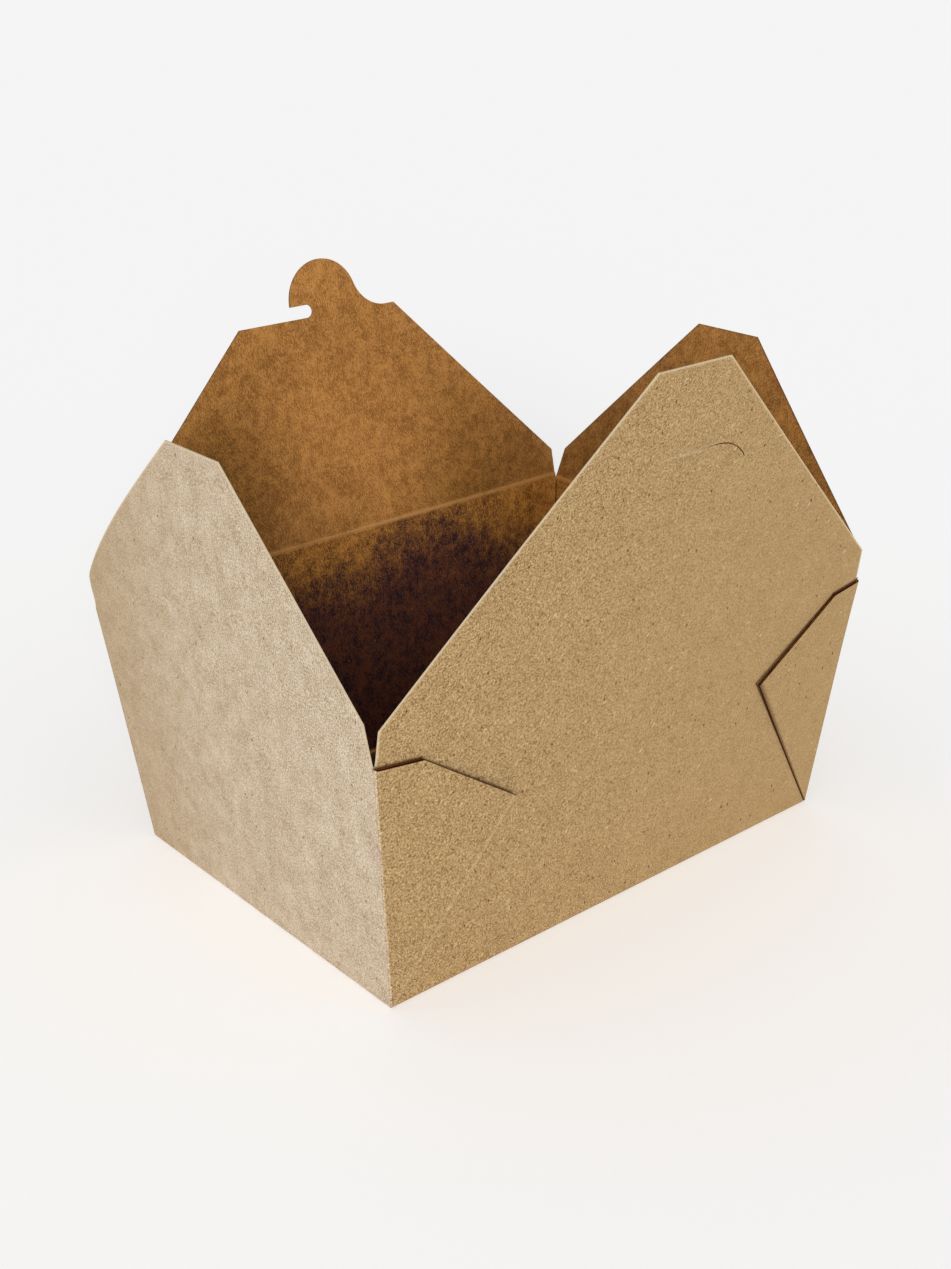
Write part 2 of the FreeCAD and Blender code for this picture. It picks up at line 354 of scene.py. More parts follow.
def outer_board(name, dark, light, lit_left_dark, lit_left_light, fibre_turn):
    """The uncoated outer face: fine pressed fibres, dark specks and a few pale slivers.

    The grain is strongest at the front left corner and calmer away from it. The attribute pale
    marks painted light: there the colours turn to the two lit ones, paler and hazier as on faces lit
    more strongly from the left, a little less so and a little darker towards the back. The attribute
    crease draws a lighter line where it is above 0, which on the flaps' rims is partly the cream of
    the cut core and partly painted highlight, and a dark line of painted shade where it is below.
    """
    speck, lit_left_speck, sliver = srgb(86, 50, 22), srgb(140, 90, 46), srgb(236, 226, 204)
    pale_line, dark_line = srgb(228, 208, 172), srgb(58, 24, 9)
    material, tree, shader, place = new_material(name, roughness=0.85, specular=0.03)
    at = add(tree, "ShaderNodeSeparateXYZ", {0: place})
    away = maths(tree, "ADD", at.outputs["X"], at.outputs["Y"])
    near = ramped(tree, away, 0.2 * top_length, -0.85 * top_length)
    # Painted light: on the faces marked pale the colours turn lighter and hazier, as lit more strongly,
    # fading and darkening a little towards the back.
    pale = attribute(tree, "pale")
    painted_light_fade = ramped(tree, at.outputs["Y"], 5 * mm, 80 * mm)
    pale = maths(tree, "MULTIPLY_ADD", maths(tree, "MULTIPLY", pale, painted_light_fade), -0.42, pale)
    contrast = maths(tree, "MULTIPLY_ADD", near, 0.66, maths(tree, "MULTIPLY_ADD", pale, -0.13, 0.37))
    fibres = placed_group(tree, "fibres", vector=place, turn=fibre_turn, width=0.5 * mm,
                          length=0.85 * mm)
    mottle = placed_group(tree, "mottle", vector=place, blotch=130.0, streak=210.0)
    relief = maths(tree, "MULTIPLY", centred(tree, fibres.outputs["Relief"]), 0.65)
    grain = maths(tree, "MULTIPLY_ADD", centred(tree, fibres.outputs["Grain"]), 2.2, relief)
    cloud = centred(tree, mottle.outputs["Value"])
    tone = maths(tree, "MULTIPLY_ADD", grain, contrast, 0.5)
    tone = maths(tree, "MULTIPLY_ADD", cloud, maths(tree, "MULTIPLY_ADD", pale, 0.5, 0.25), tone)
    tone = maths(tree, "MULTIPLY_ADD", maths(tree, "MULTIPLY", at.outputs["Y"], pale), -0.5, tone)
    face = mixed(tree, tone, mixed(tree, pale, dark, lit_left_dark), mixed(tree, pale, light, lit_left_light))
    specks = placed_group(tree, "specks", vector=place, spacing=5 * mm, stretch=1.5, size=0.5 * mm)
    face = laid_over(tree, face, specks.outputs["Mask"], 0.85, mixed(tree, pale, speck, lit_left_speck))
    slivers = placed_group(tree, "specks", vector=place, turn=fibre_turn, spacing=3.6 * mm, stretch=4.0,
                           size=0.3 * mm)
    face = laid_over(tree, face, slivers.outputs["Mask"], 0.5, sliver)
    crease = attribute(tree, "crease")
    face = laid_over(tree, face, crease, 1.0, pale_line)
    # Below 0 the crease paints shade: the dark gap beside the fold of the right front web.
    face = laid_over(tree, face, crease, -1.0, dark_line)
    finish_board(tree, shader, face, fibres.outputs["Height"], strength=0.25, depth=0.1 * mm)
    return material


def inner_board(name, pale, deep, shade_pale, shade_deep, shade_from, shade_to, shade_spots):
    """The greaseproof inner face: browner and smoother, clouded, with paler lines at the creases.

    Painted shade darkens it from the height shade_from down to shade_to, with an uneven edge; the
    height there is z plus 0.17 x, so the painted shade lies lower to the right. A spot is a point, the
    radius at which it starts, the radius at which it is full, and a change in the height that the
    painted shade goes by: above 0 the board is painted lighter there, as lit, and below 0 darker, as a
    painted shadow. The attribute crease draws a pale line where it is above 0 and a dark one where it
    is below: painted shade in the upright inner corners of the tray, and a dark rim on the flaps.
    """
    fleck, bead_line, dark_line = srgb(196, 160, 108), srgb(208, 150, 86), srgb(48, 28, 18)
    material, tree, shader, place = new_material(name, roughness=0.7, specular=0.12)
    mottle = placed_group(tree, "mottle", vector=place, blotch=90.0, streak=420.0)
    fibres = placed_group(tree, "fibres", vector=place, width=0.5 * mm, length=0.9 * mm)
    cloud = centred(tree, mottle.outputs["Value"])
    grain = maths(tree, "ADD", centred(tree, fibres.outputs["Relief"]),
                  centred(tree, fibres.outputs["Grain"]))
    pebble = centred(tree, mottle.outputs["Pebble"])
    tone = maths(tree, "MULTIPLY_ADD", cloud, 1.5, 0.5)
    tone = maths(tree, "MULTIPLY_ADD", pebble, 1.2, tone)
    tone = maths(tree, "MULTIPLY_ADD", grain, 1.5, tone)
    at = add(tree, "ShaderNodeSeparateXYZ", {0: place})
    level = maths(tree, "MULTIPLY_ADD", at.outputs["X"], 0.17, at.outputs["Z"])
    for centre, start, full, change in shade_spots:
        distance = vector_maths(tree, "DISTANCE", place, centre, "Value")
        inside_spot = ramped(tree, distance, start, full)
        level = maths(tree, "MULTIPLY_ADD", inside_spot, change, level)
    level = maths(tree, "MULTIPLY_ADD", cloud, 40 * mm, level)
    level = maths(tree, "MULTIPLY_ADD", maths(tree, "ADD", pebble, grain), 10 * mm, level)
    shade = ramped(tree, level, shade_from, shade_to)
    face = mixed(tree, tone, mixed(tree, shade, deep, shade_deep), mixed(tree, shade, pale, shade_pale))
    flecks = placed_group(tree, "specks", vector=place, spacing=5 * mm, stretch=1.6, size=0.4 * mm)
    face = laid_over(tree, face, flecks.outputs["Mask"], 0.35, fleck)
    crease = attribute(tree, "crease")
    line_strength = ramped(tree, mottle.outputs["Value"], 0.3, 0.5)
    face = laid_over(tree, face, crease, maths(tree, "MULTIPLY_ADD", line_strength, 0.45, 0.45), bead_line)
    face = laid_over(tree, face, crease, -0.85, dark_line)
    finish_board(tree, shader, face, mottle.outputs["Value"], strength=0.3, depth=0.2 * mm)
    return material


def cut_board(name, colour):
    """A cut edge: the torn fibres of the board's thickness, rougher than its faces."""
    material, tree, shader, place = new_material(name, roughness=0.9, specular=0.0)
    fibres = placed_group(tree, "fibres", vector=place, width=0.3 * mm, length=0.6 * mm)
    dark = tuple(value * 0.7 for value in colour[:3]) + (1.0,)
    face = mixed(tree, fibres.outputs["Grain"], dark, colour)
    tree.links.new(face, shader.inputs["Base Color"])
    return material


# The two colours for the pale left faces are painted light: the same board, paler and hazier, as lit
# more strongly from the left.
kraft = {"dark": srgb(108, 68, 30), "light": srgb(208, 180, 131), "lit_left_dark": srgb(143, 110, 66),
         "lit_left_light": srgb(234, 220, 198), "fibre_turn": (0.0, math.radians(-50), 0.0)}
outer_kraft = outer_board("outer_kraft", **kraft)
# The tray's inside takes painted shade: darker lower down in the box, and reaching higher in the middle
# of the back wall.
inner_wall = inner_board("inner_wall", pale=srgb(206, 144, 66), deep=srgb(126, 78, 32),
                         shade_pale=srgb(114, 66, 42), shade_deep=srgb(38, 29, 40),
                         shade_from=95 * mm, shade_to=58 * mm,
                         shade_spots=[((45 * mm, 78 * mm, 92 * mm), 62 * mm, 12 * mm, -19 * mm)])
cut_edge = cut_board("cut_edge", srgb(222, 204, 172))
cut_edge_brown = cut_board("cut_edge_brown", srgb(104, 68, 36))
# Painted shade: the cut edges inside the slit, and those of the webs beside the gap to the wall, are
# painted dark as they lie in shadow.
shaded_cut_edge = cut_board("shaded_cut_edge", srgb(66, 30, 12))


def new_object(name, data):
    """An object with its data, put in the scene."""
    made = bpy.data.objects.new(name, data)
    bpy.context.scene.collection.objects.link(made)
    return made


def make_piece(name, points, normal, triangles, material_of, materials, crease):
    """A mesh object at the origin, with its points' place at rest kept for its material.

    The attribute pale is where painted light goes: 1 on what faces left in the left half, which the
    outside paints paler as if lit more strongly, and 0 on what faces any other way.
    """
    mesh = bpy.data.meshes.new(name)
    mesh.from_pydata(points.tolist(), [], triangles.tolist())
    for material in materials:
        mesh.materials.append(material)
    mesh.polygons.foreach_set("material_index", material_of.astype(np.int32))
    pale = np.clip((-normal[:, 0] - 0.25) / 0.6, 0, 1) * (points[:, 0] < 0)
    for label, kind, field, values in (("place", "FLOAT_VECTOR", "vector", points),
                                       ("crease", "FLOAT", "value", crease),
                                       ("pale", "FLOAT", "value", pale)):
        kept = mesh.attributes.new(label, kind, "POINT")
        kept.data.foreach_set(field, values.astype(np.float32).ravel())
    mesh.shade_smooth()
    mesh.set_sharp_from_angle(angle=math.radians(40))
    piece = new_object(name, mesh)
    return piece


def tray_creases(points, from_inside):
    """How much of a crease line each inner point lies on: 1 on the line, and exp(-d^2 / w^2) off it.

    At an upright corner the line is faint on the long wall, and on the end wall beside it a dark line
    of painted shade lies in the corner.
    """
    half = half_at_height(points[:, 2]) - board / np.cos([end_lean, side_lean])
    to_end, to_long = (half - np.abs(points[:, :2])).T
    on_end = to_end < to_long
    long_rim = np.where(points[:, 1] < 0, hinge["front"].z, hinge["back"].z)
    rim = np.where(on_end, hinge["left"].z, long_rim)
    to_bottom = np.hypot(points[:, 2] - board, np.minimum(to_end, to_long)) - bottom_fold_radius

    def line(distance, width):
        return np.exp(-(np.maximum(distance, 0) / width) ** 2)

    level = np.maximum(line(rim - points[:, 2], bead_width), line(to_bottom, bead_width))
    end_wall_shade = -0.9 * line(to_long - inner_corner_radius, corner_shade_width)
    on_long_wall = 0.3 * line(to_end - inner_corner_radius, corner_glow_width)
    upright = np.where(on_end, end_wall_shade, on_long_wall)
    return np.where(level > 0.2, level, upright) * from_inside


along, out = ring(near_both_ends(60, bottom_length / 2), near_both_ends(44, bottom_width / 2), 5)
outer_face = tray_face(along, out, 0.0, 0.0, bottom_fold_radius + board, outer_corner_radius)
inner_face = tray_face(along, out, board, board, bottom_fold_radius, inner_corner_radius)
rim_face = np.stack([outer_face[-1], inner_face[-1]])
tray_points, tray_triangles, tray_part = net([outer_face, rim_face, inner_face[:, ::-1]])
inside = np.zeros(len(tray_points))
inside[np.unique(tray_triangles[tray_part == 2])] = 1.0
tray_material = np.select([tray_part == 0, tray_part == 1], [0, 2], 1)

# The left wall takes the painted light of the pale faces, up to a tenth of a millimetre from its
# corners.
left_band = 0.7 * mm
corner_fade = 0.1 * mm
outer_half = half_at_height(tray_points[:, 2])
in_left_wall = outer_half[:, 0] + tray_points[:, 0] < left_band
from_corner = np.clip((outer_half[:, 1] - np.abs(tray_points[:, 1])) / corner_fade, 0, 1)
tray_normal = np.zeros_like(tray_points)
tray_normal[:, 0] = np.where(in_left_wall, -from_corner, 0)
tray = make_piece("tray_sheet", tray_points, tray_normal, tray_triangles, tray_material,
                  [outer_kraft, inner_wall, cut_edge], tray_creases(tray_points, inside))
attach(tray, "tray")
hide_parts("tray")


# Corner webs. Where two walls meet, the sheet between them is folded in half and glued flat on
# the long wall, so each web is two boards thick with a round fold at its slanting edge and a
# cut edge along its top. The front ones stand a little proud of their wall.

web_foot = 1.2 * mm
web_top = 90.3 * mm
layer_gap = 0.06 * mm
web_glue = 0.03 * mm
web_clearance = 0.02 * mm
shade_foot = 1.0 * mm

# A web's knee is given from its top corner and its tip from its foot. At the fold it stands proud
# of the wall and its layers spring apart, and its foot is sunk. The line along its fold is pale
# above 0, and below 0 dark: painted shade in the gap beside the fold.
webs = {
    "front_left_web": {"side": "front", "hand": -1, "knee": (17.1 * mm, 2.3 * mm),
                       "tip": (44.4 * mm, 62.5 * mm), "proud": 0.75 * mm, "sunk": 0.4 * mm,
                       "spring": 0.6 * mm, "line": 0.3},
    "front_right_web": {"side": "front", "hand": 1, "knee": (13.2 * mm, 2.0 * mm),
                        "tip": (40.0 * mm, 64.0 * mm), "proud": 0.7 * mm, "sunk": 0.4 * mm,
                        "spring": 0.12 * mm, "line": -1.0},
}
for hand, name in ((-1, "back_left_web"), (1, "back_right_web")):
    webs[name] = {"side": "back", "hand": hand, "knee": (15.0 * mm, 3.5 * mm),
                  "tip": (40.6 * mm, 61.9 * mm), "proud": 0.2 * mm, "sunk": 0.2 * mm,
                  "spring": 0.15 * mm, "line": 0.3}

# Width and strength of the brown shade beside each edge of a front web, from its top corner on.
web_shade = {"front_left_web": [(1.2 * mm, 0.95), (0.9 * mm, 0.55)],
             "front_right_web": [(1.2 * mm, 0.95), (0.8 * mm, 0.8), (0.6 * mm, 0.8)]}


def line_group():
    """A soft line: 1 between the point Start and the point Run away from it, and 0 from Width off."""
    group, given, put = new_group("board_line", "Vector Start Run", "Width", "Mask")
    run = given["Run"]
    offset = vector_maths(group, "SUBTRACT", given["Vector"], given["Start"])
    reached = vector_maths(group, "DOT_PRODUCT", offset, run, "Value")
    whole = vector_maths(group, "DOT_PRODUCT", run, run, "Value")
    share = add(group, "ShaderNodeMath", {0: reached, 1: whole}, operation="DIVIDE", use_clamp=True)
    foot = add(group, "ShaderNodeVectorMath", {0: run, "Scale": share.outputs[0]}, operation="SCALE")
    distance = vector_maths(group, "DISTANCE", offset, foot.outputs["Vector"], "Value")
    group.links.new(ramped(group, distance, given["Width"], 0.0), put["Mask"])
    return group


groups["line"] = line_group()
web_kraft = outer_board("web_kraft", **kraft)


def shade_beside(material, start, end, width, strength):
    """Paints a soft brown shade along a line on a material: the shadow in the narrow gap beside an
    edge.
    """
    tree = material.node_tree
    base = tree.nodes["Principled BSDF"].inputs["Base Color"]
    gap_brown = srgb(78, 34, 12)
    line = placed_group(tree, "line", vector=attribute(tree, "place", "Vector"), start=tuple(start),
                        run=tuple(end - start), width=width)
    face = base.links[0].from_socket
    tree.links.new(laid_over(tree, face, line.outputs["Mask"], strength, gap_brown), base)


def on_side(side, along, out, up):
    """Points from distances along a side, rightwards seen from outside, out from the centre and up."""
    x, y = facing[side]
    return np.stack([-y * along + x * out, x * along + y * out, up], -1)


def on_wall(side, u, v, w):
    """Points of a long wall: u along it, v up its outer face and w out of it, with the wall's bow."""
    reach = bottom_length / 2 + v * math.tan(end_lean)
    w = w + wall_bow[side] * np.sin(v / wall_height * bow_turn) * (1 - (u / reach) ** 2)
    c, s = math.cos(side_lean), math.sin(side_lean)
    return on_side(side, u, bottom_width / 2 + v * s + w * c, v * c - w * s)


def lone_edges(triangles, count):
    """The edges that only one triangle has, each in that triangle's direction."""
    edges = np.concatenate([triangles[:, [0, 1]], triangles[:, [1, 2]], triangles[:, [2, 0]]])
    code = edges[:, 0] * count + edges[:, 1]
    return edges[~np.isin(code, edges[:, 1] * count + edges[:, 0])]


def board_sheet(mid, normal, triangles, bead=0.0):
    """Closes a middle surface into a board: its outside, its inside and the cut edge between.

    Outside points lie half a board along the normal and inside points half a board against it,
    and further by `bead`. An edge that only one triangle has is closed with a strip of edge.
    """
    count = len(mid)
    points = np.concatenate([mid + normal * board / 2, mid - normal * (board / 2 + bead)])
    a, b = lone_edges(triangles, count).T
    strip = np.concatenate([np.stack([a, a + count, b + count], 1), np.stack([a, b + count, b], 1)])
    faces = np.concatenate([triangles, triangles[:, ::-1] + count, strip])
    part = np.repeat([0, 1, 2], [len(triangles), len(triangles), len(strip)])
    return points, np.concatenate([normal, -normal]), faces, part


def web_outline(knee, tip):
    """The flat corners of a right-hand web: at the top, its knee, its tip and its foot."""
    slope = math.tan(end_lean) * math.cos(side_lean)
    foot = np.array([bottom_length / 2, 0.0])
    top = np.array([bottom_length / 2 + web_top * slope, web_top])
    return top, top - np.array(knee), foot + np.array([-tip[0], tip[1]]), foot


def web_sheet(side, hand, knee, tip, proud, sunk, spring, line):
    """A web's middle surface: a section like a hairpin, carried from the foot to the top outline.

    A section starts under the web at the corner, runs to the slanting fold, turns half round it on
    a circle of half the distance between the layers, runs back on top to the corner, and turns a
    quarter on to the end wall. Sections fan out from the bottom corner of the wall. The fold stands
    off the wall by proud * (1 - share)^0.8 * height^1.6, and the layers part there by
    spring * (1 - share)^1.2 * height^3, where share runs from the fold to the corner and height from
    the foot to the top, both from 0 to 1. `sunk` draws the foot into the wall.
    """
    top, knee_point, tip_point, foot = web_outline(knee, tip)
    run = np.linspace(0, 1, 25)[:, None]
    edge = np.concatenate([tip_point + (knee_point - tip_point) * run,
                           (knee_point + (top - knee_point) * run)[1:]])
    rise = np.concatenate([[0.0], np.linspace(0.02, 1, 46)])[:, None, None]
    start = foot + (edge - foot) / np.linalg.norm(edge - foot, axis=1)[:, None] * web_foot
    flat = start + (edge - start) * rise
    fold = flat[:, :1]
    across = np.linalg.norm(flat - fold, axis=-1)
    width = across[:, -1:]
    share = across / width
    height = rise[:, :, 0]
    raised = proud * (1 - share) ** 0.8 * height ** 1.6
    opened = layer_gap + spring * (1 - share) ** 1.2 * height ** 3
    pressed = sunk * (1 - height) + 0.8 * board * share ** 2 * (1 - height ** 6)
    low = np.maximum(raised + board / 2 + web_glue - pressed, web_clearance - board / 2)
    high = low + board + opened
    half_gap = np.minimum((high[:, :1] - low[:, :1]) / 2, width / 3)
    direction = (flat[:, -1:] - fold) / width[..., None]
    turn = np.linspace(-math.pi / 2, math.pi / 2, 11)
    half_turn = fold + direction * (half_gap - half_gap * np.cos(turn))[..., None]
    turn_w = (low[:, :1] + high[:, :1]) / 2 + half_gap * np.sin(turn)
    inward = flat + direction * (half_gap * (1 - share))[..., None]
    corner_round = 1.2 * board
    upper = inward - direction * ((corner_round + board / 2 + web_clearance) * share ** 2)[..., None]
    quarter = np.linspace(0, math.pi / 2, 6)[1:]
    end_turn = upper[:, -1:] + direction * (corner_round * np.sin(quarter))[..., None]
    end_w = high[:, -1:] - corner_round * (1 - np.cos(quarter))
    tail = end_turn[:, -1:]
    tail_w = np.full((len(flat), 1), -board)
    shown = slice(1, None)
    lower = inward - direction * (2.5 * board * share ** 2)[..., None]
    uv = np.concatenate([lower[:, ::-1][:, :-1], half_turn, upper[:, shown], end_turn, tail], 1)
    w = np.concatenate([low[:, ::-1][:, :-1], turn_w, high[:, shown], end_w, tail_w], 1)
    ones = np.ones_like(high)
    normal_w = np.concatenate([-ones[:, 1:], np.sin(turn) * ones[:, :1], ones[:, shown],
                               np.cos(quarter) * ones[:, :1], 0 * tail_w], 1)
    normal_d = np.concatenate([0 * ones[:, 1:], -np.cos(turn) * ones[:, :1], 0 * ones[:, shown],
                               np.sin(quarter) * ones[:, :1], 1 + 0 * tail_w], 1)
    normal_uv = normal_d[..., None] * direction
    # A line below 0 paints shade along the fold, for the gap under a web that stands proud.
    line_strength = np.exp(-(across / bead_width) ** 2)
    on_top = line_strength[:, shown] * 0.75 if line > 0 else 0 * line_strength[:, shown]
    on_fold = np.minimum(1, 1.6 - np.sin(turn)) * ones[:, :1]
    drawn = line * np.concatenate([0 * ones[:, 1:], on_fold, on_top, 0 * end_w, 0 * tail_w], 1)
    mirror = np.array([hand, 1.0])
    grid = np.concatenate([uv * mirror, w[..., None], normal_uv * mirror, normal_w[..., None],
                           drawn[..., None]], -1)
    points, triangles, _ = net([grid[:, ::hand]])
    middle = on_wall(side, *points[:, :3].T)
    ahead = on_wall(side, *(points[:, :3] + points[:, 3:6] * mm).T)
    normal = ahead - middle
    return middle, normal / np.linalg.norm(normal, axis=1)[:, None], triangles, points[:, 6]


for web_name, shape in webs.items():
    middle, normal, triangles, fold_line = web_sheet(**shape)
    sheet = board_sheet(middle, normal, triangles)
    web = make_piece(web_name, *sheet, [web_kraft, inner_wall, shaded_cut_edge],
                     np.concatenate([fold_line, 0 * fold_line]))
    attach(web, "tray")

for web_name, shades in web_shade.items():
    shape = webs[web_name]
    u, v = np.array(web_outline(shape["knee"], shape["tip"])).T
    corners = on_wall(shape["side"], shape["hand"] * u, np.maximum(v, shade_foot), 0 * u)
    for start, end, (width, strength) in zip(corners, corners[1:], shades):
        shade_beside(outer_kraft, start, end, width, strength)


# End flaps. The two short flaps that close first, each creased along the top of its end wall.
# They are plain: a short near-upright edge at each side and then a long slant to a narrow top.

crease_turn = 2.0 * mm
bow_fade = 60 * mm
flap_clearance = 0.3 * mm
rim_width = 0.45 * mm
end_flap = {"shoulder": 12.7 * mm, "inset": 2.8 * mm, "height": 74.8 * mm, "top_width": 29.0 * mm}
# Painted shadows and light on the flaps' insides: the left flap's shadow on the back flap's lower left,
# a weak shadow at its right, a painted pool of light in its middle, and the front flap's shadow over
# the right flap. The broad ramp from shade_from to shade_to paints them darker lower down.
flap_light_and_shadow_spots = [((-46 * mm, 85 * mm, 122 * mm), 36 * mm, 8 * mm, -50 * mm),
              ((62 * mm, 82 * mm, 112 * mm), 45 * mm, 14 * mm, -8 * mm),
              ((2 * mm, 82 * mm, 110 * mm), 60 * mm, 22 * mm, 92 * mm),
              ((113 * mm, 0 * mm, 150 * mm), 95 * mm, 60 * mm, -34 * mm)]
inner_flap = inner_board("inner_flap", pale=srgb(204, 145, 79), deep=srgb(150, 99, 46),
                         shade_pale=srgb(162, 112, 52), shade_deep=srgb(106, 69, 28),
                         shade_from=240 * mm, shade_to=40 * mm, shade_spots=flap_light_and_shadow_spots)


def rest_lean(side):
    """How far a flap leans outward at rest: the middle of its hinge's range."""
    return math.radians(sum(joint_of[flap_on[side]]["range_deg"]) / 2)


def soft_step(value):
    """0 up to 0, 1 from 1 on, and 3 t^2 - 2 t^3 between."""
    share = np.clip(value, 0, 1)
    return share * share * (3 - 2 * share)


def crease_rows(last):
    """Distances up from a crease, close together at first."""
    near = np.array([0.0, 0.12, 0.25, 0.4, 0.55, 0.75, 1.0, 1.3, 1.7, 2.2, 3.0, 4.2]) * mm
    return np.concatenate([near, np.linspace(near[-1], last, 6)[1:]])


def level_row(across, height):
    """A row of flat points at one height."""
    return np.stack([across, np.full(len(across), height)], 1)


def band(low, high, rows):
    """A flat grid between two rows of points; `rows` gives each row's share of the way, 0 to 1."""
    rows = np.asarray(rows)[:, None, None]
    return low + (high - low) * rows


def rows_to_top(count, run):
    """Shares of the way up a run: even ones, and finer ones next to the top."""
    near = fine_steps / run
    return np.concatenate([np.linspace(0, 1 - near[-1], count)[:-1], 1 - near[::-1]])


def row(points, counts):
    """Points along straight runs through `points`, with so many steps on each run."""
    parts = [np.linspace(a, b, count + 1)[:-1] for a, b, count in zip(points, points[1:], counts)]
    return np.concatenate(parts + [np.array(points[-1:], float)])


def half_root(side):
    """Half the length of a flap's crease, clear of the boards of the walls beside it."""
    if side in ("front", "back"):
        return top_length / 2 - board / math.cos(end_lean) - flap_clearance
    return top_width / 2 - board / math.cos(side_lean) - flap_clearance


def standing(side, u, v, warp):
    """The middle surface and normal of a flap that stands on its wall's crease.

    The board rises straight from the hinge at the flap's lean. Its normal turns from the wall's lean
    to the flap's within crease_turn, so that the crease looks pressed. The bow of the wall under it
    fades out as (1 - v / bow_fade)^2, and `warp` moves the board further along its normal.
    """
    lean = rest_lean(side)
    angle = wall_lean[side] + (lean - wall_lean[side]) * soft_step(v / crease_turn)
    size = top_length if side in ("front", "back") else top_width
    bow = wall_bow[side] * math.sin(bow_turn) * (1 - (2 * u / size) ** 2)
    w = warp + bow * np.clip(1 - v / bow_fade, 0, 1) ** 2
    at = hinge[side]
    centre = abs(at.x) if side in ("left", "right") else abs(at.y)
    middle = on_side(side, u, centre + v * math.sin(lean) + w * math.cos(lean),
                     at.z + v * math.cos(lean) - w * math.sin(lean))
    normal = on_side(side, 0 * u, np.cos(angle), -np.sin(angle))
    return middle, normal


def rim_line(flat, triangles, slit):
    """1 on a flap's cut outline, falling off as exp(-d^2 / rim_width^2), crease and slit left out."""
    a, b = flat[lone_edges(triangles, len(flat)).T]
    middle = (a + b) / 2
    outline = middle[:, 1] > 0
    if slit:
        outline &= ~slit(middle)
    a, b = a[outline], b[outline]
    along = b - a
    share = ((flat[:, None] - a) * along).sum(-1) / (along ** 2).sum(-1)
    foot = a + np.clip(share, 0, 1)[..., None] * along
    distance = np.linalg.norm(flat[:, None] - foot, axis=-1).min(1)
    return np.exp(-(distance / rim_width) ** 2)


def flap_piece(side, bands, warp, materials, rim=0.0, slit=None, drawn=None):
    """Builds a flap from its flat bands, standing on its wall's crease, and hides the flap from
    model.glb.

    Its outside has a pale rim as strong as `rim`, partly the cream of the cut core and partly painted
    highlight where the edge catches the light, and its inside a dark one. `slit` tells which flat
    points lie beside a slit, whose cut edges take the fourth material, painted in shade. `drawn` adds a
    line outside.
    """
    flat, triangles, _ = net(bands)
    u, v = flat.T
    line_strength = rim * rim_line(flat, triangles, slit)
    middle, normal = standing(side, u, v, warp(u, v))
    line = np.exp(-(v / bead_width) ** 2)
    points, normal, faces, part = board_sheet(middle, normal, triangles, (bead_height * line)[:, None])
    crease = np.concatenate([line_strength if drawn is None else line_strength + drawn(u, v), line - line_strength])
    if slit:
        centre = np.concatenate([flat, flat])[faces].mean(1)
        part = np.where((part == 2) & slit(centre), 3, part)
    name = flap_on[side]
    piece = make_piece(name + "_sheet", points, normal, faces, part, materials, crease)
    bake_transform(piece)
    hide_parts(name)


def plain_flap_bands(side, shoulder, inset, height, top_width):
    """The flat outline of an end flap as two grids, below and above its shoulders."""
    root = half_root(side)
    steps = near_both_ends(46, root)
    rows = [level_row(half * steps, level)
            for half, level in ((root, 0.0), (root - inset, shoulder), (top_width / 2, height))]
    return [band(rows[0], rows[1], crease_rows(shoulder) / shoulder),
            band(rows[1], rows[2], rows_to_top(36, height - shoulder))]


left_skew = 1.9 * mm
left_bulge = 4.4 * mm
left_low_bulge = 1.1 * mm
left_curl_rise = 14 * mm
right_hollow = 0.4 * mm


def left_edge(v):
    """How far the left flap reaches from its middle at a height, before its back edge bulges."""
    root = half_root("left")
    low = root - end_flap["inset"] * v / end_flap["shoulder"]
    run = (v - end_flap["shoulder"]) / (end_flap["height"] - end_flap["shoulder"])
    high = root - end_flap["inset"] - (root - end_flap["inset"] - end_flap["top_width"] / 2) * run
    return np.where(v < end_flap["shoulder"], low, high)


def left_reach(v):
    """How far outward the left flap's back edge has to go to stand in the plane of the flap's top."""
    return (end_flap["height"] - v) * math.sin(rest_lean("left")) * soft_step(v / left_curl_rise)


def left_flap_bands():
    """The left flap's grids. It is cut askew, its top a little to the back, and its back edge bulges.

    Along the slant, t from 0 to 1, the top's shift is t * left_skew. The bulge is
    left_bulge * sin(pi t^0.75), with (1 - t) * left_low_bulge and 0.6 of left_reach on top.
    """
    bands = plain_flap_bands("left", **end_flap)
    for grid in bands:
        u, v = grid[..., 0], grid[..., 1]
        run = np.clip((v - end_flap["shoulder"]) / (end_flap["height"] - end_flap["shoulder"]), 0, 1)
        bulge = left_low_bulge * (1 - run) + left_bulge * np.sin(math.pi * run ** 0.75)
        bulge = bulge + 0.6 * left_reach(v)
        grid[..., 0] = u - left_skew * run - bulge * np.clip(-u / left_edge(v), 0, 1) ** 2
    return bands


def left_warp(u, v):
    """The left flap curls outward along its back edge, by half of left_reach."""
    return 0.5 * left_reach(v) * np.clip(-u / left_edge(v), 0, 1) ** 2


def right_warp(u, v):
    """The right flap is almost flat, with a slight hollow: a half sine wave up its height."""
    return -right_hollow * np.sin(np.clip(v / end_flap["height"], 0, 1) * math.pi)


flap_piece("left", left_flap_bands(), left_warp, [outer_kraft, inner_flap, cut_edge], 0.6)
flap_piece("right", plain_flap_bands("right", **end_flap), right_warp,
           [outer_kraft, inner_flap, cut_edge_brown], 0.4)


# Slit flap. The tall front flap closes third. A knife cut across it, straight and then bending
# down to the right, takes the hook of the back flap and stands open a little at the bend.

